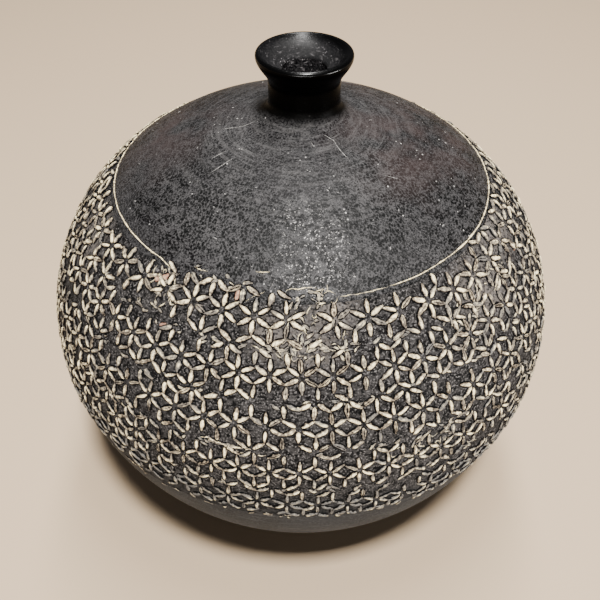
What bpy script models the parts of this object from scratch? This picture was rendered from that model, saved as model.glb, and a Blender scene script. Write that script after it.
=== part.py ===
"""Round-bellied clay pot with a narrow flared neck, built up from luted clay sections.

Metres, +Z up. The origin is the centre of the base, on the surface that the pot stands on.
Each section of the wall is half-lapped into the one below it: a tongue on the inner half of the
lower section stands inside a rebate of the upper one, with a thin seam of slip between them.
"""
import math

import bpy

# Driving dimensions, in metres
BELLY_RADIUS = 0.180          # widest outer radius
BASE_RADIUS = 0.063           # edge of the flat underside
WALL = 0.008                  # wall thickness, square to the outer surface
FLOOR = 0.010                 # thickness of the base
FLOOR_EDGE_ARC = 0.013        # where, along the outer curve, the inside starts to rise
LOWER_DROP = 1.019 * BELLY_RADIUS   # depth of the full lower curve below the widest level
UPPER_RISE = 0.857 * BELLY_RADIUS   # height of the full upper curve above the widest level
LOWER_POWER = 1.839           # superellipse power of the lower curve; 2 would be an ellipse
UPPER_POWER = 2.055           # superellipse power of the upper curve

# Neck and mouth
NECK_RADIUS = 0.0226          # outer radius where the collar stands straight
CAVETTO_RISE = 0.0153         # hollow curve that carries the dome up into the collar
CAVETTO_REACH = 0.0216
WAIST_ABOVE_BELLY = 0.1746    # level, above the widest level, where the neck is narrowest
LIP_ABOVE_BELLY = 0.1962      # level of the lip's outer edge
LIP_RADIUS = 0.0300
LIP_CORNER = 0.0022           # radius of the lip's rounded edge
NECK_FLARE_POWER = 1.9
THROAT_RADIUS = 0.0139
FUNNEL_FOOT_DROP = 0.0065     # the throat opens into a funnel this far below the lip's edge

# Seams between the clay sections
BASE_SEAM_ARC = 0.030         # along the outer curve from the base's edge
STAMPED_FOOT_HEIGHT = 0.1415  # heights above the floor
MIDDLE_SEAM_HEIGHT = 0.2060
UPPER_SEAM_HEIGHT = 0.2610
SHOULDER_LINE_HEIGHT = 0.2821
COLLAR_SEAM_RADIUS = 0.036
LIP_SEAM_DROP = 0.0054        # below the lip's outer edge
LIP_KEY_RISE = 0.0032         # the collar's tongue inside the lip ring
LIP_KEY_RADIUS = 0.0225
LAP = 0.008                   # length of each half-lap
SEAM_GAP = 0.0003

# Facets
TURN_STEPS = 48
CURVE_STEP = 0.020            # longest straight stretch of a curved profile
NECK_STEPS = 5
CAVETTO_STEPS = 3
LIP_STEPS = 5
TABLE_STEPS = 600             # fineness of the table that turns arc length into a place


def belly_height():
    """Height of the widest level above the floor, where the lower curve reaches the base."""
    share = (BASE_RADIUS / BELLY_RADIUS) ** LOWER_POWER
    return LOWER_DROP * (1.0 - share) ** (1.0 / LOWER_POWER)


def cavetto_rise(radius):
    """How far the hollow curve lifts the outer surface at this radius."""
    inward = 1.0 - (radius - NECK_RADIUS) / CAVETTO_REACH
    if inward <= 0.0:
        return 0.0
    return CAVETTO_RISE * (1.0 - math.sqrt(max(0.0, 1.0 - inward * inward)))


def body_point(angle):
    """Outer surface at an angle from the widest level: below it negative, above it positive."""
    drop, power = (UPPER_RISE, UPPER_POWER) if angle >= 0.0 else (-LOWER_DROP, LOWER_POWER)
    radius = BELLY_RADIUS * math.cos(angle) ** (2.0 / power)
    height = belly_height() + drop * abs(math.sin(angle)) ** (2.0 / power)
    return radius, height + (cavetto_rise(radius) if angle > 0.0 else 0.0)


def angle_at_radius(radius, power, sign):
    return sign * math.acos((radius / BELLY_RADIUS) ** (power / 2.0))


class Outline:
    """The outer curve from the base's edge to the collar, addressed by arc length."""

    def __init__(self):
        first = angle_at_radius(BASE_RADIUS, LOWER_POWER, -1.0)
        last = angle_at_radius(NECK_RADIUS, UPPER_POWER, 1.0)
        self.points = []
        for i in range(TABLE_STEPS + 1):
            self.points.append(body_point(first + (last - first) * i / TABLE_STEPS))
        self.arcs = [0.0]
        for (r0, z0), (r1, z1) in zip(self.points, self.points[1:]):
            self.arcs.append(self.arcs[-1] + math.hypot(r1 - r0, z1 - z0))

    def at(self, arc, depth=0.0):
        """The point at this arc length, moved into the clay by depth."""
        i = 0
        while i < TABLE_STEPS - 1 and self.arcs[i + 1] < arc:
            i += 1
        (r0, z0), (r1, z1) = self.points[i], self.points[i + 1]
        length = self.arcs[i + 1] - self.arcs[i]
        share = (arc - self.arcs[i]) / length
        along_r, along_z = (r1 - r0) / length, (z1 - z0) / length
        radius = r0 + share * (r1 - r0) - depth * along_z
        height = z0 + share * (z1 - z0) + depth * along_r
        return radius, height

    def arc_at_height(self, height):
        return next(s for s, (r, z) in zip(self.arcs, self.points) if z >= height)

    def arc_at_inner_radius(self, radius):
        """Arc length where the dome, on its way to the collar, has closed in to this radius."""
        return next(s for s, (r, z) in zip(self.arcs, self.points)
                    if r <= radius and z > belly_height())

    def run(self, start, end, depth=0.0):
        """Evenly spaced points from one arc length to another, both ends included."""
        count = max(1, math.ceil(abs(end - start) / CURVE_STEP))
        return [self.at(start + (end - start) * i / count, depth) for i in range(count + 1)]


def rebate(outline, seam):
    """Lower end of a section: the outer half hangs over the tongue of the section below."""
    outer_half = (WALL - SEAM_GAP) / 2.0
    tip = seam + LAP + SEAM_GAP
    return [outline.at(seam + SEAM_GAP, outer_half), outline.at(tip, outer_half)]


def tongue(outline, seam):
    """Upper end of a section: the inner half stands above the seam."""
    outer_half = (WALL + SEAM_GAP) / 2.0
    return [outline.at(seam + LAP, outer_half), outline.at(seam, outer_half)]


def wall_profile(outline, lower_seam, upper_seam):
    """Closed profile of a wall section: down its outer side, and up its inner side."""
    outer = outline.run(upper_seam, lower_seam + SEAM_GAP)
    inner = outline.run(lower_seam + LAP + SEAM_GAP, upper_seam + LAP, WALL)
    return outer + rebate(outline, lower_seam) + inner + tongue(outline, upper_seam)


def base_profile(outline, upper_seam):
    """Open profile of the base, from the middle of its top round to the middle of its underside."""
    floor = [(0.0, FLOOR), (BASE_RADIUS, FLOOR)]
    inner = outline.run(FLOOR_EDGE_ARC, upper_seam + LAP, WALL)
    outer = outline.run(upper_seam, 0.0)
    return floor + inner + tongue(outline, upper_seam) + outer + [(0.0, 0.0)]


def neck_radius_at(height):
    """Outer radius of the collar: straight up to the waist, then flaring out to the lip."""
    waist = belly_height() + WAIST_ABOVE_BELLY
    lip = belly_height() + LIP_ABOVE_BELLY
    share = max(0.0, (height - waist) / (lip - waist))
    return NECK_RADIUS + (LIP_RADIUS - NECK_RADIUS) * share ** NECK_FLARE_POWER


def funnel_height_at(radius):
    """Surface of the funnel that leads from the lip down into the throat."""
    lip = belly_height() + LIP_ABOVE_BELLY
    rim_radius, rim_height = LIP_RADIUS - LIP_CORNER, lip + LIP_CORNER
    foot_height = lip - FUNNEL_FOOT_DROP
    share = (radius - THROAT_RADIUS) / (rim_radius - THROAT_RADIUS)
    return foot_height + share * (rim_height - foot_height)


def collar_profile(outline, lower_seam):
    """Closed profile of the neck: flared outside, straight throat and funnel inside."""
    seam_height = belly_height() + LIP_ABOVE_BELLY - LIP_SEAM_DROP
    foot_height = outline.points[-1][1]
    outer = []
    for i in range(NECK_STEPS):
        height = seam_height + (foot_height - seam_height) * i / NECK_STEPS
        outer.append((neck_radius_at(height), height))
    first = outline.arcs[-1]
    for i in range(CAVETTO_STEPS + 1):
        outer.append(outline.at(first + (lower_seam + SEAM_GAP - first) * i / CAVETTO_STEPS))
    inner_foot = outline.at(lower_seam + LAP + SEAM_GAP, WALL)
    key_height = seam_height + LIP_KEY_RISE
    key_foot = THROAT_RADIUS
    while funnel_height_at(key_foot) < key_height:
        key_foot += SEAM_GAP
    throat = [(THROAT_RADIUS, inner_foot[1]), (THROAT_RADIUS, funnel_height_at(THROAT_RADIUS))]
    key = [(key_foot, key_height), (LIP_KEY_RADIUS, key_height), (LIP_KEY_RADIUS, seam_height)]
    return outer + rebate(outline, lower_seam) + [inner_foot] + throat + key


def lip_profile():
    """Closed profile of the ring of clay that finishes the mouth."""
    lip_height = belly_height() + LIP_ABOVE_BELLY
    seam_height = lip_height - LIP_SEAM_DROP + SEAM_GAP
    middle = LIP_RADIUS - LIP_CORNER
    edge = []
    for i in range(LIP_STEPS + 1):
        turn = math.pi / 2.0 * (1.0 - i / LIP_STEPS)
        edge.append((middle + LIP_CORNER * math.cos(turn), lip_height + LIP_CORNER * math.sin(turn)))
    outer_foot = (neck_radius_at(seam_height), seam_height)
    key_gap = LIP_KEY_RADIUS + SEAM_GAP
    inner_edge = (key_gap, funnel_height_at(key_gap))
    return edge + [outer_foot, (key_gap, seam_height), inner_edge]


def make_material(name, colour, roughness):
    material = bpy.data.materials.new(name)
    material.use_nodes = True
    shader = material.node_tree.nodes["Principled BSDF"]
    shader.inputs["Base Color"].default_value = (*colour, 1.0)
    shader.inputs["Roughness"].default_value = roughness
    shader.inputs["Metallic"].default_value = 0.0
    material.diffuse_color = (*colour, 1.0)
    return material


def turned_piece(name, profile, closed, colour, roughness, collection):
    """Spin a profile in the XZ plane once round the Z axis."""
    mesh = bpy.data.meshes.new(name)
    edges = [(i, i + 1) for i in range(len(profile) - 1)]
    if closed:
        edges.append((len(profile) - 1, 0))
    mesh.from_pydata([(radius, 0.0, height) for radius, height in profile], edges, [])
    mesh.materials.append(make_material(name + "_finish", colour, roughness))
    piece = bpy.data.objects.new(name, mesh)
    collection.objects.link(piece)
    screw = piece.modifiers.new("turn", "SCREW")
    screw.axis = "Z"
    screw.angle = 2.0 * math.pi
    screw.steps = TURN_STEPS
    screw.render_steps = TURN_STEPS
    screw.use_merge_vertices = True
    screw.merge_threshold = 0.00001
    screw.use_smooth_shade = True
    return piece


# Finishes: bare fired clay, a thin grey-brown wash, cream slip over black, matte and glossy black
BARE_CLAY = ((0.060, 0.052, 0.044), 0.80)
GREY_WASH = ((0.075, 0.070, 0.062), 0.70)
STAMPED_SLIP = ((0.200, 0.185, 0.155), 0.65)
MATTE_BLACK = ((0.045, 0.045, 0.046), 0.48)
GLOSSY_BLACK = ((0.012, 0.012, 0.013), 0.25)


def main():
    for thing in list(bpy.data.objects):
        bpy.data.objects.remove(thing, do_unlink=True)
    pot = bpy.data.collections.new("black_clay_pot")
    bpy.context.scene.collection.children.link(pot)
    outline = Outline()

    base_seam = BASE_SEAM_ARC
    collar_seam = outline.arc_at_inner_radius(COLLAR_SEAM_RADIUS)
    heights = (STAMPED_FOOT_HEIGHT, MIDDLE_SEAM_HEIGHT, UPPER_SEAM_HEIGHT, SHOULDER_LINE_HEIGHT)
    stamped_seams = [outline.arc_at_height(height) for height in heights]
    seams = [base_seam] + stamped_seams + [collar_seam]
    walls = (("lower_bowl", GREY_WASH), ("belly_wall_lower", STAMPED_SLIP),
             ("belly_wall_middle", STAMPED_SLIP), ("belly_wall_upper", STAMPED_SLIP),
             ("shoulder_dome", MATTE_BLACK))

    turned_piece("base_saucer", base_profile(outline, base_seam), False, *BARE_CLAY, pot)
    for (name, finish), lower, upper in zip(walls, seams, seams[1:]):
        turned_piece(name, wall_profile(outline, lower, upper), True, *finish, pot)
    turned_piece("neck_collar", collar_profile(outline, collar_seam), True, *GLOSSY_BLACK, pot)
    turned_piece("lip_ring", lip_profile(), True, *GLOSSY_BLACK, pot)


main()
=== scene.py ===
"""The looks of the black clay pot: smooth clay sections, raised petals, slip, burnish and wear.

Metres, +Z up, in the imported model's frame. A place on the wall is given by its turn, the angle
round the pot (0 at the front, -Y; positive towards +X), and its arc, the distance along the
outer curve above the widest level.
"""
import math

import bpy
import numpy as np
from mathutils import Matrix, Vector, noise


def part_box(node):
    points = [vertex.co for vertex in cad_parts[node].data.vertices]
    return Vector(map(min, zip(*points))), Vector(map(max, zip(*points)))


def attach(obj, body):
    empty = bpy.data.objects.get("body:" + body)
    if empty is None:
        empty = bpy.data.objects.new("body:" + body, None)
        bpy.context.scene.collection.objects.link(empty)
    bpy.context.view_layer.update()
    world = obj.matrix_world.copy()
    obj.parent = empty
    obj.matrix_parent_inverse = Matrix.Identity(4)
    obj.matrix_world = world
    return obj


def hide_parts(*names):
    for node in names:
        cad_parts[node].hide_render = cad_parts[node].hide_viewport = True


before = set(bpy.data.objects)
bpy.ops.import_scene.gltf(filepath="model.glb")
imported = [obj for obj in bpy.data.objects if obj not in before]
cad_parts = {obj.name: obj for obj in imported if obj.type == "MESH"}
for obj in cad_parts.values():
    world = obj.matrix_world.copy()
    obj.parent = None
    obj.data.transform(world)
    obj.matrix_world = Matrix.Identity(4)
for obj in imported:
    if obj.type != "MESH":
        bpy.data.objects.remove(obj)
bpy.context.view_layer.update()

# ---- Driving dimensions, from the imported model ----
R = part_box("belly_wall_lower")[1].x           # the widest radius
LIP_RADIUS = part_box("lip_ring")[1].x
TOP_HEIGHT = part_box("lip_ring")[1].z
BASE_RADIUS = 0.350 * R

# The outer curve, as in the CAD model: two superellipse quarters that meet at the widest level
LOWER_DROP, LOWER_POWER = 1.019 * R, 1.839
UPPER_RISE, UPPER_POWER = 0.857 * R, 2.055
NECK_RADIUS = 0.0226
CAVETTO_RISE, CAVETTO_REACH = 0.0153, 0.0216
WALL = 0.008                  # thickness of the wall, and of the floor
FLOOR = 0.010
FLOOR_EDGE_ARC = 0.013        # along the outer curve, where the inside starts to rise
BASE_SEAM_ARC = 0.030         # along the outer curve, from the base's edge
LAP = 0.008                   # how far one section's tongue reaches into the next
SEAM_GAP = 0.0003
SEAM_CREASE = 0.0005          # how far a section's edge rolls in at the shoulder seam
CREASE_REACH = 0.0026         # and how far above the seam that starts
PIN_RADIUS = 0.004            # rings this close to the axis are closed with a fan

# The neck and its mouth
THROAT_RADIUS = 0.0139
LIP_HEIGHT = TOP_HEIGHT - 0.0022
FLARE_FOOT_HEIGHT = LIP_HEIGHT - 0.0162
LIP_SEAM_HEIGHT = LIP_HEIGHT - 0.0054
LIP_KEY_RADIUS, LIP_KEY_DROP = 0.0225, 0.0042
BEAD_RADIUS = 0.0022
BEAD_END = 140.0              # how far round the bead runs to the mouth's bowl, in degrees
BOWL_INSET, BOWL_LIP = 1.77 * BEAD_RADIUS, 0.36 * BEAD_RADIUS
FUNNEL_FOOT_HEIGHT = LIP_HEIGHT - 0.0086
FUNNEL_POWER = 0.78
NECK_LEAN = 0.0022            # the neck stands this far to the right of the pot's axis
LEAN_FROM, LEAN_TO = 0.305, 0.335       # the lean and the tilt grow between these heights
MOUTH_LIFT, MOUTH_TILT = 0.0010, 0.026  # the mouth is a little high, and higher at the front
OVAL, LOBES = 0.0022, 0.0012            # how far the wall is out of round, as shares of radius

# Fineness of the turned pieces
TURN_STEPS = 512
FINE_STEP, COARSE_STEP, HOLLOW_STEP = 0.0018, 0.008, 0.0009
BEAD_STEPS, FLARE_STEPS, NECK_STEPS = 16, 8, 24
THROAT_STEPS, BOWL_STEPS = 12, 16
TABLE_STEPS = 2400
SEED = 7


# ---- The outer curve ----
def belly_height():
    share = (BASE_RADIUS / R) ** LOWER_POWER
    return LOWER_DROP * (1.0 - share) ** (1.0 / LOWER_POWER)


def cavetto_rise(radius):
    """How far the hollow curve at the neck's foot lifts the dome."""
    inward = np.clip(1.0 - (radius - NECK_RADIUS) / CAVETTO_REACH, 0.0, 1.0)
    return CAVETTO_RISE * (1.0 - np.sqrt(1.0 - inward * inward))


class Outline:
    """Outer curve from the base's edge to the neck's foot, addressed by arc length."""

    def __init__(self):
        first = -math.acos((BASE_RADIUS / R) ** (LOWER_POWER / 2.0))
        last = math.acos((NECK_RADIUS / R) ** (UPPER_POWER / 2.0))
        angle = np.linspace(first, last, TABLE_STEPS)
        below = angle < 0.0
        power = np.where(below, LOWER_POWER, UPPER_POWER)
        reach = np.where(below, -LOWER_DROP, UPPER_RISE)
        self.radius = R * np.cos(angle) ** (2.0 / power)
        self.height = belly_height() + reach * np.abs(np.sin(angle)) ** (2.0 / power)
        self.height += np.where(below, 0.0, cavetto_rise(self.radius))
        steps = np.hypot(np.diff(self.radius), np.diff(self.height))
        self.arc = np.concatenate([[0.0], np.cumsum(steps)])
        self.arc -= np.interp(0.0, angle, self.arc)
        self.slope_r = np.gradient(self.radius, self.arc)
        self.slope_z = np.gradient(self.height, self.arc)

    def at(self, arc, depth=0.0):
        """Radius and height at these arcs, moved into the clay by depth."""
        radius = np.interp(arc, self.arc, self.radius)
        height = np.interp(arc, self.arc, self.height)
        slope_r = np.interp(arc, self.arc, self.slope_r)
        slope_z = np.interp(arc, self.arc, self.slope_z)
        return radius - depth * slope_z, height + depth * slope_r

    def arc_at_height(self, height):
        return float(np.interp(height, self.height, self.arc))

    def arc_at_radius(self, radius):
        """Arc on the dome, above the widest level, where the radius has closed in to this."""
        upper = self.arc > 0.0
        return float(np.interp(-radius, -self.radius[upper], self.arc[upper]))

    def run(self, start, end, depth=0.0, step=FINE_STEP):
        count = max(2, math.ceil(abs(end - start) / step) + 1)
        return list(zip(*self.at(np.linspace(start, end, count), depth)))


outline = Outline()


# ---- Mesh helpers ----
def hand_made(points):
    """The slight unevenness of a hand-built pot, the neck's lean and the mouth's tilt."""
    x, y, z = points[:, 0], points[:, 1], points[:, 2]
    turn = np.arctan2(x, -y)
    level = z / TOP_HEIGHT
    swell = OVAL * np.sin(2.0 * turn + 0.7) * np.sin(math.pi * level)
    swell += LOBES * np.sin(3.0 * turn - 1.1 + 4.0 * level) * np.sin(math.pi * level)
    rise = np.clip((z - LEAN_FROM) / (LEAN_TO - LEAN_FROM), 0.0, 1.0)
    rise = rise * rise * (3.0 - 2.0 * rise)
    lift = rise * (MOUTH_LIFT - MOUTH_TILT * y)
    return np.stack([x * (1.0 + swell) + NECK_LEAN * rise, y * (1.0 + swell), z + lift], axis=1)


def build_piece(name, points, faces, material, sharp_angle=35.0):
    mesh = bpy.data.meshes.new(name)
    mesh.from_pydata(hand_made(points).tolist(), [], faces)
    mesh.validate()
    mesh.shade_smooth()
    mesh.set_sharp_from_angle(angle=math.radians(sharp_angle))
    mesh.materials.append(material)
    piece = bpy.data.objects.new(name, mesh)
    bpy.context.scene.collection.objects.link(piece)
    return piece


def turned(name, profile, material, closed=True):
    """Spin a profile, given as (radius, height) down its outer side, once round the axis."""
    profile = np.array(profile, float)
    rings = len(profile)
    turn = np.linspace(0.0, 2.0 * math.pi, TURN_STEPS, endpoint=False)
    radius = np.repeat(profile[:, 0], TURN_STEPS)
    height = np.repeat(profile[:, 1], TURN_STEPS)
    around = np.tile(turn, rings)
    points = np.stack([radius * np.sin(around), -radius * np.cos(around), height], axis=1)
    faces = []
    for i in range(rings if closed else rings - 1):
        top, low = i * TURN_STEPS, ((i + 1) % rings) * TURN_STEPS
        for k in range(TURN_STEPS):
            after = (k + 1) % TURN_STEPS
            faces.append((top + k, low + k, low + after, top + after))
    if not closed:
        points, faces = close_on_axis(points, faces, profile, rings)
    return build_piece(name, points, faces, material)


def close_on_axis(points, faces, profile, rings):
    """Fan the first and last rings of an open profile to points on the axis."""
    count = len(points)
    points = np.vstack([points, [0.0, 0.0, profile[0, 1]], [0.0, 0.0, profile[-1, 1]]])
    last = (rings - 1) * TURN_STEPS
    for k in range(TURN_STEPS):
        after = (k + 1) % TURN_STEPS
        faces.append((count, k, after))
        faces.append((count + 1, last + after, last + k))
    return points, faces


def place(turn, arc, height=0.0):
    """Points at a turn and arc, raised above the outer surface."""
    radius, level = outline.at(arc, -height)
    return np.stack([radius * np.sin(turn), -radius * np.cos(turn), level], axis=-1)


# ---- Section profiles, as in the CAD model but finer ----
def wall_profile(lower_seam, upper_seam, crease=0.0):
    half = WALL / 2.0
    outer = outline.run(upper_seam, lower_seam)
    if crease:
        edge = [(0.0016, 0.15), (0.0008, 0.5), (0.0, 1.0)]
        outer = outline.run(upper_seam, lower_seam + CREASE_REACH)
        outer += [outline.at(lower_seam + rise, crease * share) for rise, share in edge]
    rebate = [outline.at(lower_seam, half), outline.at(lower_seam + LAP, half)]
    inner = outline.run(lower_seam + LAP, upper_seam + LAP, WALL, COARSE_STEP)
    tongue = [outline.at(upper_seam + LAP, half), outline.at(upper_seam, half)]
    return outer + rebate + inner + tongue


def base_profile(upper_seam):
    first = outline.arc[0]
    middle = BASE_RADIUS * 0.6
    floor = [(PIN_RADIUS, FLOOR), (middle, FLOOR), (BASE_RADIUS, FLOOR)]
    inner = outline.run(first + FLOOR_EDGE_ARC, upper_seam + LAP, WALL, COARSE_STEP)
    tongue = [outline.at(upper_seam + LAP, WALL / 2.0), outline.at(upper_seam, WALL / 2.0)]
    outer = outline.run(upper_seam, first)
    return floor + inner + tongue + outer + [(middle, 0.0), (PIN_RADIUS, 0.0)]


def neck_radius_at(height):
    share = max(0.0, (height - FLARE_FOOT_HEIGHT) / (LIP_HEIGHT - FLARE_FOOT_HEIGHT))
    return NECK_RADIUS + (LIP_RADIUS - NECK_RADIUS) * share * share * (3.0 - 2.0 * share)


def funnel_height_at(radius):
    """The mouth's bowl, from the bead's inner side down to the edge of the throat."""
    share = (radius - THROAT_RADIUS) / (LIP_RADIUS - BOWL_INSET - THROAT_RADIUS)
    rim_height = TOP_HEIGHT - BOWL_LIP
    return FUNNEL_FOOT_HEIGHT + share ** FUNNEL_POWER * (rim_height - FUNNEL_FOOT_HEIGHT)


def collar_profile(lower_seam):
    foot = outline.arc[-1]
    levels = np.linspace(LIP_SEAM_HEIGHT, outline.height[-1], NECK_STEPS)
    outer = [(neck_radius_at(level), level) for level in levels[:-1]]
    outer += outline.run(foot, lower_seam, step=HOLLOW_STEP)
    rebate = [outline.at(lower_seam, WALL / 2.0), outline.at(lower_seam + LAP, WALL / 2.0)]
    inner_foot = outline.at(lower_seam + LAP, WALL)
    key_height = LIP_SEAM_HEIGHT - LIP_KEY_DROP
    levels = np.linspace(inner_foot[1], key_height, THROAT_STEPS)
    throat = [(THROAT_RADIUS, level) for level in levels]
    key = [(LIP_KEY_RADIUS, key_height), (LIP_KEY_RADIUS, LIP_SEAM_HEIGHT)]
    return outer + rebate + [inner_foot] + throat + key


def lip_profile():
    """The bead, the flare under it, a key that sits in the collar, and the mouth's whole bowl."""
    outer = []
    for turn in np.radians(np.linspace(BEAD_END, 0.0, BEAD_STEPS)):
        outer.append((LIP_RADIUS - BEAD_RADIUS + BEAD_RADIUS * math.cos(turn),
                      LIP_HEIGHT + BEAD_RADIUS * math.sin(turn)))
    for level in np.linspace(LIP_HEIGHT, LIP_SEAM_HEIGHT, FLARE_STEPS + 1)[1:]:
        outer.append((neck_radius_at(level), level))
    key_height = LIP_SEAM_HEIGHT - LIP_KEY_DROP + SEAM_GAP
    key = [(LIP_KEY_RADIUS, LIP_SEAM_HEIGHT), (LIP_KEY_RADIUS, key_height)]
    edge = [(THROAT_RADIUS, key_height), (THROAT_RADIUS, FUNNEL_FOOT_HEIGHT - 0.0002)]
    radii = np.linspace(THROAT_RADIUS + 0.0006, outer[0][0] - 0.0004, BOWL_STEPS)
    return outer + key + edge + [(radius, funnel_height_at(radius)) for radius in radii]


# ---- Materials ----
class Shader:
    """A Principled material with short calls for the nodes that it uses."""

    def __init__(self, name, roughness=0.5, specular=0.5):
        self.material = bpy.data.materials.new(name)
        self.material.use_nodes = True
        self.tree = self.material.node_tree
        self.out = self.tree.nodes["Principled BSDF"]
        self.out.inputs["Roughness"].default_value = roughness
        self.out.inputs["Specular IOR Level"].default_value = specular
        self.here = self.add("ShaderNodeTexCoord").outputs["Object"]
        parts = self.add("ShaderNodeSeparateXYZ")
        self.feed(parts.inputs[0], self.here)
        self.x, self.y, self.z = parts.outputs
        across = self.math("ADD", self.math("MULTIPLY", self.x, self.x),
                           self.math("MULTIPLY", self.y, self.y))
        self.radius = self.math("POWER", across, 0.5)

    def add(self, kind, **settings):
        node = self.tree.nodes.new(kind)
        for key, value in settings.items():
            setattr(node, key, value)
        return node

    def feed(self, socket, value):
        if isinstance(value, bpy.types.NodeSocket):
            self.tree.links.new(value, socket)
        elif isinstance(value, tuple) and socket.type == "RGBA":
            socket.default_value = (*value, 1.0)
        else:
            socket.default_value = value

    def math(self, operation, first, second=0.0):
        node = self.add("ShaderNodeMath", operation=operation)
        self.feed(node.inputs[0], first)
        self.feed(node.inputs[1], second)
        return node.outputs[0]

    def noise(self, scale, detail=2.0, roughness=0.5, vector=None):
        node = self.add("ShaderNodeTexNoise")
        self.feed(node.inputs["Vector"], vector or self.here)
        node.inputs["Scale"].default_value = scale
        node.inputs["Detail"].default_value = detail
        node.inputs["Roughness"].default_value = roughness
        return node.outputs["Fac"]

    def specks(self, scale, size):
        """1 inside small round dots, 0 outside; scale is dots to the metre."""
        node = self.add("ShaderNodeTexVoronoi")
        self.feed(node.inputs["Vector"], self.here)
        node.inputs["Scale"].default_value = scale
        return self.window(node.outputs["Distance"], size, size * 0.6)

    def window(self, value, start, end):
        """0 to 1 as the value goes from start to end, held at both ends."""
        node = self.add("ShaderNodeMapRange", clamp=True)
        self.feed(node.inputs["Value"], value)
        node.inputs["From Min"].default_value = start
        node.inputs["From Max"].default_value = end
        return node.outputs["Result"]

    def mix(self, factor, first, second):
        node = self.add("ShaderNodeMix", data_type="RGBA")
        self.feed(node.inputs[0], factor)
        self.feed(node.inputs[6], first)
        self.feed(node.inputs[7], second)
        return node.outputs[2]

    def attribute(self, name):
        return self.add("ShaderNodeAttribute", attribute_name=name).outputs["Fac"]

    def circling(self, across, along):
        """Coordinates for marks that run round the pot: fine across the circles, slow along."""
        node = self.add("ShaderNodeCombineXYZ")
        self.feed(node.inputs[0], self.math("MULTIPLY", self.radius, across))
        turn = self.math("ARCTAN2", self.x, self.y)
        self.feed(node.inputs[1], self.math("MULTIPLY", turn, along))
        self.feed(node.inputs[2], self.math("MULTIPLY", self.z, across))
        return node.outputs[0]

    def near(self, turn, arc, inner, outer):
        """1 within inner of a place on the wall, fading to 0 at outer."""
        node = self.add("ShaderNodeVectorMath", operation="DISTANCE")
        self.feed(node.inputs[0], self.here)
        node.inputs[1].default_value = place(math.radians(turn), arc * R)
        return self.window(node.outputs["Value"], outer, inner)

    def zones(self, places):
        """1 inside any of these (turn, arc share, inner, outer) zones."""
        total = self.near(*places[0])
        for spot in places[1:]:
            total = self.math("MAXIMUM", total, self.near(*spot))
        return total

    def bump(self, height, distance, strength=1.0):
        node = self.add("ShaderNodeBump")
        node.inputs["Strength"].default_value = strength
        node.inputs["Distance"].default_value = distance
        self.feed(node.inputs["Height"], height)
        return node.outputs["Normal"]

    def finish(self, colour, roughness=None, normal=None):
        self.feed(self.out.inputs["Base Color"], colour)
        if roughness is not None:
            self.feed(self.out.inputs["Roughness"], roughness)
        if normal is not None:
            self.feed(self.out.inputs["Normal"], normal)
        return self.material


# Slip, and the clay where it chipped
CREAM = (0.98, 0.83, 0.49)
WORN_CREAM = (0.135, 0.108, 0.080)
DULL_SLIP = (0.105, 0.098, 0.090)
TERRACOTTA = (0.26, 0.125, 0.085)
# Black ground between the petals
CHARCOAL = (0.0036, 0.0034, 0.0034)
# Near black for the dome's pits and the ground's darkest grain, and painted contact shade for the
# border round each petal.
DARK_SPECK_AND_SHADE = (0.0010, 0.0010, 0.0010)
HAZE = (0.0273, 0.0255, 0.0251)
LOW_HAZE = (0.0225, 0.0228, 0.0240)
SMEAR = (0.115, 0.101, 0.090)
GRIT = (0.114, 0.107, 0.104)
BRUSH_LINE = (0.060, 0.056, 0.054)
# Burnish, and its marks
BURNISH_DARK = (0.0034, 0.0034, 0.0037)
BURNISH_LOW, BURNISH_HIGH = (0.0267, 0.0258, 0.0267), (0.0432, 0.0414, 0.0419)
BURNISH_GRAIN = (0.101, 0.0965, 0.0955)
STREAK = (0.10, 0.097, 0.096)
SWEEP = (0.088, 0.084, 0.083)
BROWN = (0.046, 0.031, 0.029)
# Pale dots: painted glints of the lamp on the dome's front, and real pale specks scattered over
# the dome.
GLINT_AND_SPECK = (0.34, 0.325, 0.31)
DULL_SCRATCH, PALE_SCRATCH = (0.10, 0.098, 0.095), (0.33, 0.315, 0.295)
# Painted shade round the neck's foot, then gloss paint and dust
FOOT_SHADE = (0.0005, 0.0005, 0.0005)
GLOSS, GLOSS_SCUFF = (0.0003, 0.0003, 0.0003), (0.0013, 0.0013, 0.0013)
DUST_DARK = (0.0030, 0.0030, 0.0034)
DUST_HAZE, DUST_SCUFF = (0.0100, 0.0094, 0.0097), (0.066, 0.062, 0.063)
# Wash, bare clay and floor
DARK_WASH = (0.0072, 0.0080, 0.0092)
PALE_WASH = (0.0120, 0.0133, 0.0154)
WASH_GRAIN, WASH_LINE = (0.046, 0.0475, 0.0500), (0.060, 0.0610, 0.0620)
DARK_CLAY, PALE_CLAY = (0.032, 0.028, 0.025), (0.070, 0.060, 0.050)
FLOOR_COLOUR = (0.530, 0.395, 0.258)

# Places, as turn in degrees, arc as a share of R, and the inner and outer reach in metres
SMEARED = ((1.0, 0.575, 0.006, 0.024), (-7.0, 0.60, 0.004, 0.018), (8.0, 0.68, 0.004, 0.020),
           (50.0, 0.57, 0.010, 0.030), (66.0, 0.68, 0.010, 0.030), (-72.0, 0.58, 0.010, 0.030))
# Painted highlight: zones on the dome's front where glints of the lamp are painted.
PAINTED_GLINT_ZONES = ((2.0, 0.80, 0.010, 0.026), (5.0, 0.90, 0.010, 0.026), (0.0, 0.98, 0.004, 0.018))
PEPPERED = ((28.0, 0.95, 0.020, 0.040), (50.0, 1.05, 0.020, 0.045), (75.0, 0.90, 0.015, 0.040),
            (-35.0, 0.90, 0.015, 0.040), (-60.0, 0.88, 0.015, 0.040), (150.0, 1.00, 0.020, 0.050))
BROWNED = ((75.0, 1.10, 0.015, 0.060), (100.0, 0.95, 0.015, 0.060), (-100.0, 0.95, 0.010, 0.060),
           (170.0, 0.95, 0.020, 0.070))


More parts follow.
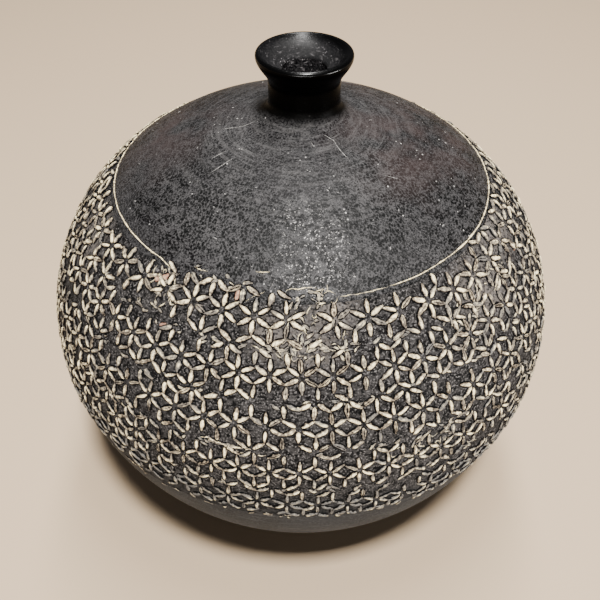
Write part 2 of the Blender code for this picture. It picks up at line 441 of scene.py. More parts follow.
def burnished(s):
    """Colour, roughness and height of the dome's peppery burnish."""
    grain = s.noise(900.0, 1.8, 0.6)
    fine = s.noise(1500.0, 2.0, 0.6)
    pitted = s.window(s.noise(150.0, 3.0, 0.6), 0.42, 0.50)
    pits = s.math("MULTIPLY", s.specks(620.0, 0.68), pitted)
    patch = s.noise(24.0, 3.0)
    rings = s.noise(1.0, 3.0, 0.6, s.circling(800.0, 2.6))
    near_neck = s.window(s.radius, 0.085, 0.040)
    rubbed = s.math("MAXIMUM", near_neck, s.window(s.noise(14.0, 2.0), 0.52, 0.68))
    pale = s.mix(s.window(patch, 0.35, 0.65), BURNISH_LOW, BURNISH_HIGH)
    colour = s.mix(s.window(grain, 0.40, 0.56), BURNISH_DARK, pale)
    fine = s.math("MULTIPLY", s.window(fine, 0.54, 0.70), 0.60)
    colour = s.mix(fine, colour, BURNISH_GRAIN)
    peppered = s.math("MAXIMUM", s.zones(PEPPERED), s.window(rubbed, 1.8, 0.0))
    pits = s.math("MULTIPLY", pits, peppered)
    colour = s.mix(pits, colour, DARK_SPECK_AND_SHADE)
    streak = s.math("MULTIPLY", s.window(rings, 0.54, 0.76), s.window(near_neck, -0.35, 2.2))
    colour = s.mix(streak, colour, STREAK)
    sweep = s.window(s.noise(1.0, 2.0, 0.5, s.circling(330.0, 2.0)), 0.50, 0.72)
    sweep = s.math("MULTIPLY", sweep, s.window(s.radius, 0.110, 0.050))
    colour = s.mix(s.math("MULTIPLY", sweep, 0.34), colour, SWEEP)
    brown = s.math("MULTIPLY", s.zones(BROWNED), s.window(s.noise(40.0, 3.0), 0.36, 0.60))
    colour = s.mix(s.math("MULTIPLY", brown, 0.42), colour, BROWN)
    # Painted glints where the lamp's highlight falls, mixed with real stray pale specks.
    painted_glint = s.math("MULTIPLY", s.zones(PAINTED_GLINT_ZONES), s.window(s.noise(420.0, 2.0), 0.50, 0.58))
    painted_glint = s.math("MULTIPLY", painted_glint, s.specks(850.0, 0.40))
    stray = s.math("MULTIPLY", s.specks(150.0, 0.10), s.window(s.noise(45.0, 2.0), 0.55, 0.62))
    colour = s.mix(s.math("MAXIMUM", painted_glint, stray), colour, GLINT_AND_SPECK)
    rough = s.math("ADD", s.math("MULTIPLY", grain, 0.40), 0.30)
    height = s.math("ADD", s.math("MULTIPLY", grain, 0.7), s.math("MULTIPLY", rings, 0.35))
    return colour, rough, s.math("SUBTRACT", height, pits)


def dome_material():
    s = Shader("burnished_charcoal", specular=0.12)
    colour, rough, height = burnished(s)
    return s.finish(colour, rough, s.bump(height, 0.00030, 0.55))


PAINT_EDGE = belly_height() + 0.921 * R       # height at which the gloss paint starts


def collar_material():
    """The dome's burnish, with gloss paint from the neck's foot up, and painted shade in a
    near-black band just below the paint.
    """
    s = Shader("burnish_and_gloss", specular=0.014)
    colour, rough, height = burnished(s)
    wander = s.math("MULTIPLY", s.math("SUBTRACT", s.noise(160.0, 3.0, 0.6), 0.5), 0.0022)
    level = s.math("ADD", s.z, s.math("MULTIPLY", s.y, 0.2))
    level = s.math("ADD", level, wander)
    paint = s.window(level, PAINT_EDGE - 0.0036, PAINT_EDGE + 0.0010)
    # Painted shade: the dome goes near black in a band below the paint edge, where the neck's
    # foot is in shade.
    foot_shade = s.window(level, PAINT_EDGE - 0.0088, PAINT_EDGE - 0.0032)
    colour = s.mix(s.math("MULTIPLY", foot_shade, 0.96), colour, FOOT_SHADE)
    gloss, gloss_rough, gloss_height = painted(s)
    colour = s.mix(paint, colour, gloss)
    rough = blend(s, paint, rough, gloss_rough)
    height = blend(s, paint, height, gloss_height)
    inside = s.window(s.radius, THROAT_RADIUS + 0.0030, THROAT_RADIUS + 0.0015)
    colour = s.mix(inside, colour, dusty_colour(s, 4.0))
    return s.finish(colour, rough, s.bump(height, 0.00025, 0.5))


def blend(s, factor, first, second):
    """A number between two, for roughness and height."""
    gap = s.math("SUBTRACT", second, first)
    return s.math("ADD", first, s.math("MULTIPLY", factor, gap))


def painted(s):
    """Colour, roughness and height of the glossy black paint."""
    grain = s.noise(900.0, 2.0)
    scuff = s.noise(1.0, 3.0, 0.6, s.circling(500.0, 5.0))
    colour = s.mix(s.window(scuff, 0.60, 0.85), GLOSS, GLOSS_SCUFF)
    rough = s.math("ADD", s.math("MULTIPLY", grain, 0.16), 0.16)
    return colour, rough, s.math("MULTIPLY", grain, 0.25)


def dusty_colour(s, pale):
    """Scuffed and dusty black, as pale as this many times the mouth's own dust."""
    dust = s.noise(800.0, 3.0, 0.65)
    rub = s.noise(1.0, 3.0, 0.65, s.circling(700.0, 3.0))
    haze = tuple(pale * part for part in DUST_HAZE)
    scuff = tuple(pale * part for part in DUST_SCUFF)
    colour = s.mix(s.window(dust, 0.44, 0.66), DUST_DARK, haze)
    colour = s.mix(s.math("MULTIPLY", s.window(rub, 0.58, 0.68), 0.7), colour, scuff)
    dots = s.math("MULTIPLY", s.specks(560.0, 0.30), s.window(s.noise(300.0, 2.0), 0.50, 0.60))
    return s.mix(dots, colour, scuff)


def mouth_material():
    """Gloss paint on the bead, scuffed and dusty down in the bowl and throat."""
    s = Shader("scuffed_gloss", specular=0.20)
    colour, rough, height = painted(s)
    inside = s.window(s.radius, LIP_RADIUS - 1.6 * BEAD_RADIUS, LIP_RADIUS - 3.2 * BEAD_RADIUS)
    throat = s.window(s.radius, THROAT_RADIUS + 0.0008, THROAT_RADIUS + 0.0002)
    dusty = s.mix(throat, dusty_colour(s, 1.0), dusty_colour(s, 3.0))
    colour = s.mix(inside, colour, dusty)
    scuffs = s.noise(600.0, 3.0, 0.65)
    deep = s.window(s.radius, LIP_RADIUS - 0.0045, THROAT_RADIUS + 0.0040)
    dull = s.math("ADD", s.math("MULTIPLY", scuffs, 0.30), s.math("MULTIPLY", deep, 0.55))
    rough = blend(s, inside, rough, s.math("ADD", dull, 0.04))
    height = blend(s, inside, height, s.math("MULTIPLY", scuffs, 1.2))
    return s.finish(colour, rough, s.bump(height, 0.00025, 0.5))


def ground_material():
    """Black ground between the petals, with grit, brush lines and smears of slip; low down it
    turns into the bowl's wash."""
    s = Shader("stamped_ground", 0.75, 0.04)
    grain = s.noise(850.0, 2.0, 0.6)
    haze = s.noise(250.0, 4.0, 0.65)
    lines = s.noise(1.0, 3.0, 0.6, s.circling(1000.0, 14.0))
    low = s.window(s.z, belly_height() + 0.04 * R, belly_height() - 0.12 * R)
    haze_tint = s.mix(low, HAZE, LOW_HAZE)
    colour = s.mix(s.window(haze, 0.44, 0.57), s.mix(low, CHARCOAL, DARK_WASH), haze_tint)
    brushed = s.math("MULTIPLY", s.window(lines, 0.54, 0.72), 0.45)
    colour = s.mix(brushed, colour, BRUSH_LINE)
    grit = s.math("MULTIPLY", s.window(grain, 0.56, 0.68), s.window(low, 1.2, 0.0))
    colour = s.mix(grit, colour, GRIT)
    colour = s.mix(s.window(grain, 0.42, 0.34), colour, DARK_SPECK_AND_SHADE)
    smear = s.math("MULTIPLY", s.zones(SMEARED), s.window(s.noise(520.0, 3.0), 0.40, 0.56))
    colour = s.mix(s.math("MULTIPLY", smear, 0.75), colour, SMEAR)
    height = s.math("ADD", s.math("ADD", grain, haze), s.math("MULTIPLY", lines, 0.5))
    return s.finish(colour, None, s.bump(height, 0.00035, 0.7))


def slip_material():
    """Cream slip on raised clay, near black where the slip attribute is low: worn through on
    hollow petals, and painted contact shade, partly black pigment in the crease, on the border
    round each petal.
    """
    s = Shader("cream_slip", 0.65, 0.05)
    slip, tone, bare = s.attribute("slip"), s.attribute("tone"), s.attribute("bare")
    grain = s.noise(1500.0, 2.0, 0.6)
    wear = s.noise(430.0, 3.0, 0.6)
    cover = s.math("ADD", slip, s.math("MULTIPLY", s.math("SUBTRACT", wear, 0.5), 1.7))
    spotted = s.math("SUBTRACT", cover, s.math("MULTIPLY", s.window(grain, 0.50, 0.34), 0.30))
    cream = s.mix(s.window(spotted, 0.60, 1.00), WORN_CREAM, CREAM)
    # Faded petals stay paler along the ridge, where cover is high: slip kept on the proud ridge,
    # and a painted highlight along it.
    faded = s.math("MULTIPLY", tone, s.window(cover, 1.45, 0.75))
    cream = s.mix(faded, cream, DULL_SLIP)
    cream = s.mix(bare, cream, TERRACOTTA)
    # Low cover goes near black: real wear on hollow petals, and painted contact shade on each
    # petal's border.
    colour = s.mix(s.window(cover, 0.30, 0.48), DARK_SPECK_AND_SHADE, cream)
    return s.finish(colour, None, s.bump(s.math("ADD", grain, wear), 0.00022, 0.6))


def scratch_material():
    """Pale grey where the burnish was scratched or spotted."""
    s = Shader("pale_scratch", 0.6, 0.2)
    grain = s.noise(1400.0, 2.0, 0.6)
    colour = s.mix(s.window(grain, 0.40, 0.60), DULL_SCRATCH, PALE_SCRATCH)
    return s.finish(colour, None, s.bump(grain, 0.0001, 0.6))


def wash_material():
    """The thin grey wash on the bowl, brushed on in rings."""
    s = Shader("grey_brown_wash", 0.7, 0.09)
    grain = s.noise(800.0, 3.0, 0.65)
    cloud = s.noise(30.0, 4.0, 0.6)
    lines = s.noise(1.0, 3.0, 0.6, s.circling(420.0, 5.0))
    colour = s.mix(s.window(cloud, 0.35, 0.65), DARK_WASH, PALE_WASH)
    colour = s.mix(s.window(grain, 0.48, 0.70), colour, WASH_GRAIN)
    colour = s.mix(s.math("MULTIPLY", s.window(lines, 0.52, 0.70), 0.4), colour, WASH_LINE)
    height = s.math("ADD", grain, s.math("MULTIPLY", lines, 0.6))
    return s.finish(colour, None, s.bump(height, 0.0004, 0.6))


def clay_material():
    s = Shader("bare_clay", 0.85, 0.1)
    grain = s.noise(500.0, 4.0, 0.7)
    colour = s.mix(s.window(grain, 0.4, 0.65), DARK_CLAY, PALE_CLAY)
    return s.finish(colour, None, s.bump(grain, 0.0004, 0.8))


# ---- Petals ----
# A petal's stations run from its flower's middle outwards; its columns run across it. The first
# and last columns are sunk in the wall, and the next ones in are the fold of its border, which
# has no slip and goes near black: painted contact shade round the petal, partly black pigment in
# the crease
FOLD_RISE = 0.08              # as a share of the petal's rise
STATIONS = np.array([-1.0, -0.76, -0.40, 0.0, 0.40, 0.76, 1.0])
STATION_WIDTH = np.array([0.34, 0.80, 1.0, 1.0, 0.86, 0.62, 0.38])
STATION_RISE = np.array([0.50, 0.90, 1.0, 1.0, 0.90, 0.75, 0.60])
STATION_SLIP = np.array([0.80, 1.04, 1.08, 1.02, 0.88, 0.74, 0.62])
COLUMN_SIDE = np.array([-1.0, -1.0, -0.86, -0.50, 0.0, 0.50, 0.86, 1.0, 1.0])
COLUMN_RISE = np.array([0.0, FOLD_RISE, 0.55, 0.88, 1.0, 0.88, 0.55, FOLD_RISE, 0.0])
COLUMN_SLIP = np.array([0.0, 0.0, 0.42, 0.96, 1.05, 0.96, 0.42, 0.0, 0.0])
SKIRT = 0.00100               # the border round a petal, which carries the painted contact shade, spreads this far
SKIRT_FOLD = 0.00055          # and lies nearly flat from here
ROOT = 0.0004                 # and goes this deep into the wall
ROUGHEN_UP, ROUGHEN_ACROSS = 0.00005, 0.00008


def petal_faces():
    """Faces of one petal: its top, flanks and underside as quads, and its two blunt ends."""
    columns, stations = len(COLUMN_SIDE), len(STATIONS)
    quads = []
    for i in range(stations - 1):
        for k in range(columns):
            after = (k + 1) % columns
            quads.append((i * columns + k, i * columns + after,
                          (i + 1) * columns + after, (i + 1) * columns + k))
    last = (stations - 1) * columns
    return np.array(quads), (tuple(range(columns))[::-1], tuple(range(last, last + columns)))


def petals_piece(name, petals, material, rng):
    """One piece of many petals, each (turn, arc, angle, length, width, rise, bend, hollow, tone,
    bare). The last three run from 0 to 1: worn along the middle, faded, and down to the clay."""
    values = np.array(petals, float).T[:, :, None, None]
    turn, arc, angle, length, width, rise, bend, hollow, tone, bare = values
    across_share, along_share = COLUMN_SIDE[None, None, :], STATIONS[None, :, None]
    proud = (COLUMN_RISE > 0.0)[None, None, :]
    fold = np.where(COLUMN_RISE == FOLD_RISE, SKIRT_FOLD, 0.0)
    spread = np.where(COLUMN_RISE == 0.0, SKIRT, fold)
    across = across_share * (STATION_WIDTH[None, :, None] * width / 2.0 + spread[None, None, :])
    along = np.broadcast_to(along_share * length / 2.0, across.shape)
    middle = np.exp(-(across_share / 0.45) ** 2) * (np.abs(along_share) < 0.8)
    height = COLUMN_RISE[None, None, :] * STATION_RISE[None, :, None] * rise
    height = height * (1.0 - 0.6 * hollow * middle) - ROOT * ~proud
    height = height + proud * rng.normal(0.0, ROUGHEN_UP, height.shape)
    across = across + proud * rng.normal(0.0, ROUGHEN_ACROSS, across.shape)
    across = across + bend * length * (0.35 - along_share ** 2)
    east = along * np.cos(angle) - across * np.sin(angle)
    north = along * np.sin(angle) + across * np.cos(angle)
    points = place(turn + east / outline.at(arc)[0], arc + north, height).reshape(-1, 3)
    per_petal = len(STATIONS) * len(COLUMN_SIDE)
    quads, ends = petal_faces()
    faces = []
    for start in range(0, len(points), per_petal):
        faces += (quads + start).tolist()
        faces += [tuple(corner + start for corner in end) for end in ends]
    piece = build_piece(name, points, faces, material, 60.0)
    slip = COLUMN_SLIP[None, None, :] * STATION_SLIP[None, :, None]
    slip = slip * (1.0 - 0.85 * hollow * middle)
    for label, value in (("slip", slip), ("tone", tone), ("bare", bare)):
        add_value(piece, label, np.broadcast_to(value, height.shape).ravel())
    return piece


def add_value(piece, name, values):
    attribute = piece.data.attributes.new(name, "FLOAT", "POINT")
    attribute.data.foreach_set("value", np.ascontiguousarray(values, np.float32))


# Bands rolled on with a stamp: middle arc as a share of R, turn of the first flower and turn from
# flower to flower in degrees, how many flowers, and how the roll wandered: tilt, wave and phase
BANDS = (
    ("upper", 0.642, 8.1, 8.11, 44, 0.000, 0.019, 2.40),
    ("middle", 0.472, -179.13, 6.64, 54, -0.013, 0.009, 1.05),
    ("middle", 0.296, -176.8, 6.30, 57, 0.000, 0.011, 1.57),
    ("lower", 0.121, -178.24, 5.74, 62, -0.012, 0.006, 1.57),
    ("lowest", -0.048, -179.63, 5.90, 61, 0.000, 0.034, 3.14),
)
WHOLE = (30.0, 90.0, 150.0, 210.0, 270.0, 330.0)
SLANTING, UPRIGHT = (0.600, 0.80), (0.590, 0.74)      # middle and length, as shares of reach
BOW = 0.024                                   # how far slanting petals bow, as a share of length
BORDER_KEEP = 0.62                            # share of the border's slanting petals that took
PETAL_STRETCH = (0.90, 1.06)                  # least and most, as shares of the length
PETAL_WIDTH = (0.142, 0.186)                  # least and most, as shares of the gap
PETAL_RISE = (0.0015, 0.0021)
PETAL_STRAY = 0.0002                          # how far petals stray along and across the rows
SHOULDER_ARC = 0.722 * R
FRAY_ARC = 0.750 * R
FRAYED = (-38.0, -4.0)                        # turns where petals run on past the shoulder line
# Where slip was smeared: turns in degrees, arcs as shares of R, and the share of petals lost
SWEPT = ((-9.0, 10.0, 0.535, 0.610, 0.25), (-43.0, -34.0, 0.57, 0.66, 0.25),
         (29.0, 56.0, 0.352, 0.392, 0.80))


def band_arc(band, turn):
    _, middle, _, _, _, tilt, wave, phase = band
    return R * (middle + tilt * math.sin(turn) + wave * math.sin(2.0 * turn + phase))


def in_degrees(turn):
    """A turn in radians as degrees from -180 to 180."""
    return (math.degrees(turn) + 180.0) % 360.0 - 180.0


def wear_at(turn, arc):
    """How worn the slip is at a place: in patches, and more low down and towards the right."""
    patch = noise.noise(Vector((2.4 * math.sin(turn), 2.4 * math.cos(turn), 5.0 * arc / R)))
    low = min(1.0, max(0.0, (0.26 - arc / R) / 0.25))
    right = min(1.0, max(0.0, (in_degrees(turn) - 30.0) / 30.0))
    return min(1.0, max(0.0, 0.22 + 0.5 * patch + 0.28 * low + 0.22 * right))


def fade_at(turn, arc):
    """How far the slip has faded to grey: towards the bowl, and sooner on the left."""
    left = min(1.0, max(0.0, (-10.0 - in_degrees(turn)) / 30.0))
    return min(1.0, max(0.0, (0.06 + 0.05 * left - arc / R) / 0.18))


def flower(petals, rng, turn, arc, gap, directions, keep):
    """Petals of one flower that lie in these directions; gap is the distance between flowers."""
    reach = gap / math.sqrt(3.0)
    radius = float(outline.at(arc)[0])
    wear, fade = wear_at(turn, arc), fade_at(turn, arc)
    slender = min(1.0, max(0.80, 0.70 + 0.70 * arc / R))
    for direction in directions:
        if rng.random() > keep:
            continue
        angle = math.radians(direction + rng.normal(0.0, 3.5))
        upright = direction in (90.0, 270.0)
        middle_share, length_share = UPRIGHT if upright else SLANTING
        middle = reach * (middle_share + rng.normal(0.0, 0.012))
        length = reach * length_share * rng.uniform(*PETAL_STRETCH)
        width = gap * rng.uniform(*PETAL_WIDTH) * (1.0 - 0.15 * wear) * slender
        bend = BOW * math.copysign(1.0, math.sin(2.0 * angle)) * (not upright)
        hollow = min(1.0, rng.random() ** 2.5 + 0.5 * wear * rng.random())
        tone = min(1.0, max(0.0, rng.normal(0.08 + 0.42 * wear + fade, 0.32 - 0.22 * fade)))
        petals.append((
            turn + (middle * math.cos(angle) + rng.normal(0.0, PETAL_STRAY)) / radius,
            arc + middle * math.sin(angle) + rng.normal(0.0, PETAL_STRAY),
            angle, length, width, rng.uniform(*PETAL_RISE),
            bend + rng.normal(0.0, 0.02), hollow, tone, 0.0))


def stamp_band(petals, rng, band):
    """A row of whole flowers, and the halves of its neighbour rows that the roll carried."""
    _, _, first, pitch, count, _, _, _ = band
    for i in range(count):
        turn = math.radians(first + pitch * i)
        arc = band_arc(band, turn)
        gap = math.radians(pitch) * float(outline.at(arc)[0])
        row = gap * math.sqrt(3.0) / 2.0
        half = math.radians(pitch) / 2.0
        flower(petals, rng, turn, arc, gap, WHOLE, 0.985)
        flower(petals, rng, turn + half, arc + row, gap, (270.0,), 0.96)
        flower(petals, rng, turn + half, arc + row, gap, (210.0, 330.0), BORDER_KEEP)
        flower(petals, rng, turn + half, arc - row, gap, (90.0,), 0.96)
        flower(petals, rng, turn + half, arc - row, gap, (30.0, 150.0), BORDER_KEEP)


# Where the stamp slipped or the slip was dragged: turns in degrees, arcs as shares of R, how
# many scraps, and how far their direction strays from level, in degrees
SCRAPS = (
    ("upper", -9.0, 10.0, 0.535, 0.612, 24, 180.0),
    ("upper", -3.0, 9.0, 0.62, 0.750, 16, 180.0),
    ("upper", -44.0, -33.0, 0.56, 0.735, 20, 180.0),
    ("upper", -34.0, -5.0, 0.728, 0.770, 12, 40.0),
    ("upper", 36.0, 60.0, 0.51, 0.60, 14, 180.0),
    ("upper", -180.0, 180.0, 0.545, 0.575, 90, 60.0),
    ("middle", 37.0, 46.0, 0.43, 0.53, 12, 180.0),
    ("middle", -180.0, 180.0, 0.375, 0.400, 110, 40.0),
    ("middle", -20.0, -8.0, 0.212, 0.224, 12, 12.0),
    ("lower", 17.0, 31.0, 0.12, 0.215, 18, 180.0),
    ("lower", -180.0, 180.0, 0.195, 0.215, 120, 50.0),
    ("lower", -180.0, 180.0, 0.030, 0.055, 120, 60.0),
    ("lowest", -180.0, 180.0, -0.165, -0.130, 130, 60.0),
)
BARE_SCRAPS = 0.012           # share of the scraps that are chipped down to the clay
# Larger chips: turn in degrees, arc as a share of R, angle, length and width
CHIPS = ((-37.8, 0.688, 1.1, 0.0064, 0.0044), (-39.6, 0.672, 0.2, 0.0040, 0.0030),
         (-16.5, 0.716, 1.5, 0.0060, 0.0026))


def chip_petals():
    """Low rounded flakes of bare clay, in the same form as the petals."""
    return [(math.radians(turn), arc * R, angle, length, width, 0.0008, 0.0, 0.0, 0.1, 0.8)
            for turn, arc, angle, length, width in CHIPS]


def scatter_scraps(petals, rng, zone):
    """Low scraps of slip at random in a zone."""
    _, turn_from, turn_to, arc_from, arc_to, count, stray = zone
    for _ in range(count):
        length = rng.uniform(0.0022, 0.0062)
        petals.append((
            math.radians(rng.uniform(turn_from, turn_to)), R * rng.uniform(arc_from, arc_to),
            math.radians(rng.uniform(-stray, stray)), length,
            min(0.0019, length * rng.uniform(0.22, 0.60)), rng.uniform(0.0004, 0.0010),
            rng.normal(0.0, 0.1), rng.random(), rng.uniform(0.4, 1.0),
            0.7 * float(rng.random() < BARE_SCRAPS)))


def is_swept(turn, arc, rng):
    """Whether a petal is lost where the slip was smeared."""
    for turn_from, turn_to, arc_from, arc_to, loss in SWEPT:
        if turn_from < in_degrees(turn) < turn_to and arc_from * R < arc < arc_to * R:
            return rng.random() < loss
    return False


def make_petals(material):
    """The petals and scraps, one piece for each group of bands."""
    rng = np.random.default_rng(SEED)
    groups = {"upper": [], "middle": [], "lower": [], "lowest": []}
    for band in BANDS:
        stamp_band(groups[band[0]], rng, band)
    pieces = []
    for name, petals in groups.items():
        kept = []
        for petal in petals:
            turn, arc, angle, length = petal[:4]
            top = arc + abs(math.sin(angle)) * length / 2.0
            frayed = FRAYED[0] < in_degrees(turn) < FRAYED[1]
            limit = FRAY_ARC if frayed else SHOULDER_ARC - 0.0008
            if top < limit and not is_swept(turn, arc, rng):
                kept.append(petal)
        for zone in SCRAPS:
            if zone[0] == name:
                scatter_scraps(kept, rng, zone)
        if name == "upper":
            kept += chip_petals()
        pieces.append(petals_piece("petals_" + name, kept, material, rng))
    return pieces


# ---- Threads: thin raised lines of slip, and pale scratches ----
THREAD_SIDE = np.array([-1.0, -0.62, 0.0, 0.62, 1.0])
THREAD_RISE = np.array([0.0, 0.75, 1.0, 0.75, 0.0])
THREAD_SLIP = np.array([0.1, 0.9, 1.0, 0.9, 0.1])
THREAD_STEP = 0.0009


def thread_path(stops, rng, wander):
    """Closely spaced turns and arcs through a few (turn in degrees, arc share) stops."""
    turn = np.radians([stop[0] for stop in stops])
    arc = np.array([stop[1] for stop in stops]) * R
    radius = outline.at(arc)[0]
    steps = np.hypot(np.diff(turn) * radius[1:], np.diff(arc))
    along = np.concatenate([[0.0], np.cumsum(steps)])
    count = max(5, int(along[-1] / THREAD_STEP))
    at = np.linspace(0.0, along[-1], count)
    drift = np.cumsum(rng.normal(0.0, 1.0, count))
    drift -= np.linspace(0.0, drift[-1], count)
    drift *= wander / math.sqrt(count)
    return np.interp(at, along, turn), np.interp(at, along, arc) + drift


def thread_rows(turn, arc, width, rise, rng):
    """Five points across each station of a path, thinning to nothing at its ends."""
    radius = outline.at(arc)[0]
    east, north = np.gradient(turn) * radius, np.gradient(arc)
    length = np.hypot(east, north)
    count = len(turn)
    ends = np.minimum(np.arange(count), np.arange(count)[::-1]) / min(8.0, count / 3.0)
    uneven = np.convolve(rng.normal(1.0, 0.5, count + 4), np.ones(5) / 5.0, "valid")
    size = np.clip(ends, 0.12, 1.0) * np.clip(uneven, 0.45, 1.5)
    side = THREAD_SIDE[None, :] * (size * width / 2.0)[:, None]
    height = THREAD_RISE[None, :] * (size * rise)[:, None] - ROOT * (THREAD_RISE == 0.0)
    turn = turn[:, None] - side * (north / length / radius)[:, None]
    arc = arc[:, None] + side * (east / length)[:, None]
    return place(turn, arc, height).reshape(-1, 3)


def threads_piece(name, threads, material, rng):
    """One piece of many threads, each (stops, width, rise, wander, tone)."""
    points, faces, slips, tones = [], [], [], []
    columns = len(THREAD_SIDE)
    for stops, width, rise, wander, tone in threads:
        turn, arc = thread_path(stops, rng, wander)
        start = sum(len(rows) for rows in points)
        rows = thread_rows(turn, arc, width, rise, rng)
        points.append(rows)
        stations = len(turn)
        for i in range(stations - 1):
            for k in range(columns):
                after = (k + 1) % columns
                low, high = start + i * columns, start + (i + 1) * columns
                faces.append((low + k, low + after, high + after, high + k))
        last = start + (stations - 1) * columns
        faces.append(tuple(range(start, start + columns))[::-1])
        faces.append(tuple(range(last, last + columns)))
        slips += list(np.tile(THREAD_SLIP, stations))
        tones += [tone] * (stations * columns)
    piece = build_piece(name, np.vstack(points), faces, material, 60.0)
    for label, value in (("slip", slips), ("tone", tones), ("bare", [0.0] * len(slips))):
        add_value(piece, label, value)
    return piece


# The shoulder line, from the right round the back to the left, where it breaks off and frays
SHOULDER_LINE = ((24.0, 0.7245), (60.0, 0.7235), (120.0, 0.724), (180.0, 0.727), (240.0, 0.729),
                 (275.0, 0.729), (318.0, 0.736), (323.0, 0.724))
# The shoulder line where it is nearly rubbed away, and a ridge of slip at a seam
FAINT_LINE = ((9.0, 0.7260), (24.5, 0.7245))
RIDGE_LINE = ((-20.0, 0.2195), (-15.0, 0.2205), (-9.5, 0.2170))
SHOULDER_WIDTH, SHOULDER_RISE = 0.0009, 0.0006
# Loose ends of slip at the frayed edge, as (turn in degrees, arc share) stops
FRAY_LINES = (
    ((-31.0, 0.762), (-28.5, 0.757), (-26.5, 0.764)),
    ((-13.0, 0.803), (-10.5, 0.808), (-8.8, 0.806)),
    ((-14.0, 0.700), (-10.5, 0.735), (-9.5, 0.742)),
    ((-4.0, 0.745), (-0.5, 0.752), (4.0, 0.757)),
    ((3.0, 0.742), (5.5, 0.752), (9.0, 0.735)),
)
# Scratches in the dome's burnish, in the same way
SCRATCHES = (
    ((23.5, 1.320), (34.0, 1.285), (35.0, 1.185)),
    ((-86.0, 1.168), (-76.0, 1.318)),
    ((-51.0, 1.053), (-49.0, 1.163)),
    ((-59.5, 1.105), (-58.5, 1.165)),
    ((8.0, 1.30), (13.5, 1.27)),
    ((46.0, 1.075), (51.0, 1.030)),
    ((-30.5, 0.875), (-28.0, 0.872)),
    ((152.0, 0.92), (163.0, 0.99)),
    ((-140.0, 0.86), (-133.0, 0.83)),
)
SPLASH_COUNT = 60             # small pale marks scattered over the dome
# Where short curls of slip lie: turns, arc shares and how many
CURL_ZONES = ((-9.0, 10.0, 0.54, 0.62, 22), (-43.0, -33.0, 0.58, 0.72, 14),
              (-2.0, 9.0, 0.64, 0.75, 12), (36.0, 58.0, 0.50, 0.60, 6),
              (17.0, 31.0, 0.12, 0.21, 10))
CURL_STOPS, CURL_TURN, CURL_ARC = 5, 0.60, 0.0090     # and their stops, and how far apart


def curl(rng, zone):
    """A short bent line at random in a zone."""
    turn = rng.uniform(zone[0], zone[1])
    arc = rng.uniform(zone[2], zone[3])
    heading, bend = rng.uniform(0.0, 6.28), rng.normal(0.0, 0.8)
    stops = []
    for _ in range(CURL_STOPS):
        stops.append((turn, arc))
        turn += CURL_TURN * math.cos(heading)
        arc += CURL_ARC * math.sin(heading)
        heading += bend
    return tuple(stops)


def make_threads(slip, scratched):
    """Lines and curls of slip, and the dome's scratches and small marks."""
    rng = np.random.default_rng(SEED + 1)
    line = [(SHOULDER_LINE, SHOULDER_WIDTH, SHOULDER_RISE, 0.0010, 0.0),
            (FAINT_LINE, 0.0006, 0.0004, 0.0008, 0.75),
            (RIDGE_LINE, 0.0012, 0.0008, 0.0016, 0.15)]
    line += [(stops, 0.0007, 0.0004, 0.0012, 0.45) for stops in FRAY_LINES]
    curls = [(curl(rng, zone), rng.uniform(0.0006, 0.0010), 0.0006, 0.0004, rng.uniform(0.5, 1.0))
             for zone in CURL_ZONES for _ in range(zone[4])]
    marks = [(stops, 0.00045, 0.00010, 0.0006, 1.0) for stops in SCRATCHES]
    for _ in range(SPLASH_COUNT):
        turn, arc = rng.uniform(-180.0, 180.0), rng.uniform(0.75, 1.25)
        reach = rng.uniform(0.3, 1.3)
        marks.append((((turn, arc), (turn + reach, arc + 0.004 * rng.normal())),
                      rng.uniform(0.0006, 0.0014), 0.00015, 0.0002, rng.uniform(0.1, 0.9)))
    return (threads_piece("slip_lines", line, slip, rng),
            threads_piece("slip_curls", curls, slip, rng),
            threads_piece("dome_marks", marks, scratched, rng))


# ---- Stage ----
FLOOR_REACH = 6.0
AIM = (0.0, 0.0, 0.2)         # what the lights point at
# Lights: name, place, aim, size and power in watts
OVERHEAD = (
    ("key", (0.14, -0.92, 2.3), AIM, (0.25, 0.25), 128.0),
    ("ceiling_strip", (0.10, 0.45, 2.2), (0.10, 0.45, 0.0), (0.30, 1.8), 60.0),
)
FILLS = (
    ("soft_right", (2.0, -0.9, 0.16), AIM, (1.0, 0.24), 62.0),
    ("soft_front", (-0.1, -2.0, 0.12), AIM, (1.4, 0.18), 44.0),
)
LIGHT_COLOUR = (1.0, 0.985, 0.96)
ROOM_COLOUR, ROOM_STRENGTH = (0.97, 0.96, 1.0, 1.0), 0.10


def make_floor():
    s = Shader("pale_floor", 0.7)
    s.finish(FLOOR_COLOUR)
    reach = FLOOR_REACH
    corners = [(-reach, -reach, 0), (reach, -reach, 0), (reach, reach, 0), (-reach, reach, 0)]
    mesh = bpy.data.meshes.new("floor")
    mesh.from_pydata(corners, [], [(0, 1, 2, 3)])
    mesh.materials.append(s.material)
    floor = bpy.data.objects.new("floor", mesh)
    bpy.context.scene.collection.objects.link(floor)
    return floor


def make_area(name, place_at, aim, size, energy):
    light = bpy.data.lights.new(name, "AREA")
    light.shape = "RECTANGLE"
    light.size, light.size_y = size
    light.energy = energy
    light.color = LIGHT_COLOUR
    thing = bpy.data.objects.new(name, light)
    thing.location = place_at
    thing.rotation_euler = (Vector(aim) - Vector(place_at)).to_track_quat("-Z", "Y").to_euler()
    bpy.context.scene.collection.objects.link(thing)
    return thing


def all_but(name, thing):
    """A light-linking collection that leaves one object out of a light's reach."""
    lit = bpy.data.collections.new(name)
    lit.objects.link(thing)
    lit.collection_objects[0].light_linking.link_state = "EXCLUDE"
    return lit


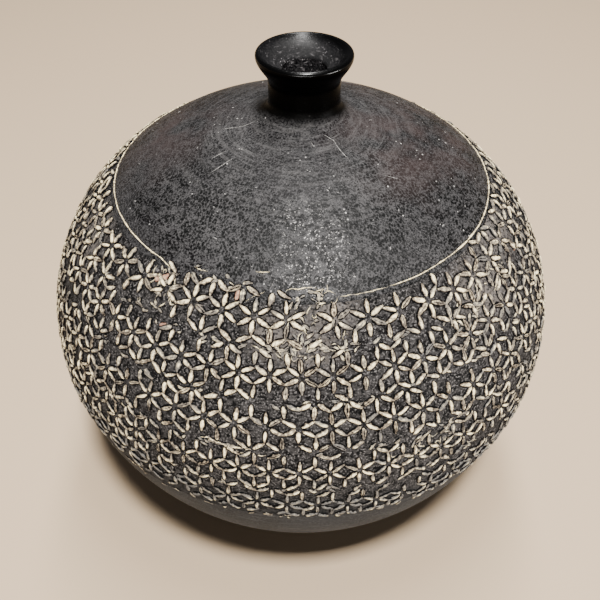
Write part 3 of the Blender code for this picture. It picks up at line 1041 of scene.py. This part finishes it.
def make_stage():
    """Floor, lights and room. The fills leave the floor out, so the contact shadow stays dark."""
    all_but_floor = all_but("all_but_floor", make_floor())
    for row in OVERHEAD:
        make_area(*row)
    for row in FILLS:
        make_area(*row).light_linking.receiver_collection = all_but_floor
    world = bpy.data.worlds.new("room")
    world.use_nodes = True
    background = world.node_tree.nodes["Background"]
    background.inputs["Color"].default_value = ROOM_COLOUR
    background.inputs["Strength"].default_value = ROOM_STRENGTH
    bpy.context.scene.world = world


CAMERA_LENS, CAMERA_SENSOR = 47.53, 36.0
CAMERA_BACK, CAMERA_UP = 2.486, 2.320         # from the middle of the belly, as shares of R
CAMERA_SIDE = -0.0005
CAMERA_PITCH = 43.42                          # degrees below level


def make_camera():
    """Looks along +Y from the front, and down on the pot."""
    camera = bpy.data.objects.new("camera", bpy.data.cameras.new("camera"))
    camera.data.lens = CAMERA_LENS
    camera.data.sensor_width = CAMERA_SENSOR
    camera.location = (CAMERA_SIDE, -CAMERA_BACK * R, belly_height() + CAMERA_UP * R)
    camera.rotation_euler = (math.radians(90.0 - CAMERA_PITCH), 0.0, 0.0)
    bpy.context.scene.collection.objects.link(camera)
    bpy.context.scene.camera = camera


# ---- Assembly ----
def settle(piece, slot, *nodes):
    """Put a piece under the root body and hide the CAD nodes it stands in for; slot is not used.
    """
    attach(piece, "root")
    if nodes:
        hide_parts(*nodes)


def paint_flare(lip, paint):
    """The flare under the bead has the neck's paint, which shines less than the bead."""
    lip.data.materials.append(paint)
    ring = np.arange(len(lip.data.polygons)) // TURN_STEPS
    under = (ring >= BEAD_STEPS - 2) & (ring < BEAD_STEPS + FLARE_STEPS)
    lip.data.polygons.foreach_set("material_index", under.astype(np.int32))


def make_sections():
    """The clay sections, from the base up, each in place of its CAD node."""
    base_seam = outline.arc[0] + BASE_SEAM_ARC
    stamped_foot = outline.arc_at_height(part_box("belly_wall_lower")[0].z)
    middle_seam = outline.arc_at_height(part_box("belly_wall_middle")[0].z)
    upper_seam = outline.arc_at_height(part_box("belly_wall_upper")[0].z)
    shoulder = outline.arc_at_height(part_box("shoulder_dome")[0].z)
    collar_seam = outline.arc_at_radius(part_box("neck_collar")[1].x)

    base = turned("clay_base", base_profile(base_seam), clay_material(), False)
    settle(base, "bare_clay", "base_saucer")
    bowl = turned("bowl", wall_profile(base_seam, stamped_foot), wash_material())
    settle(bowl, "grey_wash", "lower_bowl")
    ground = ground_material()
    seams = (stamped_foot, middle_seam, upper_seam, shoulder)
    for name, lower, upper in zip(("lower", "middle", "upper"), seams, seams[1:]):
        wall = turned("wall_" + name, wall_profile(lower, upper), ground)
        settle(wall, "stamped_slip", "belly_wall_" + name)
    dome = turned("dome", wall_profile(shoulder, collar_seam, SEAM_CREASE), dome_material())
    settle(dome, "matte_black", "shoulder_dome")
    collar = turned("collar", collar_profile(collar_seam), collar_material())
    settle(collar, "glossy_black", "neck_collar")
    lip = turned("lip", lip_profile(), mouth_material())
    paint_flare(lip, collar.data.materials[0])
    settle(lip, "glossy_black", "lip_ring")


def main():
    make_camera()
    make_stage()
    make_sections()
    slip = slip_material()
    for piece in (*make_petals(slip), *make_threads(slip, scratch_material())):
        settle(piece, "stamped_slip")


main()
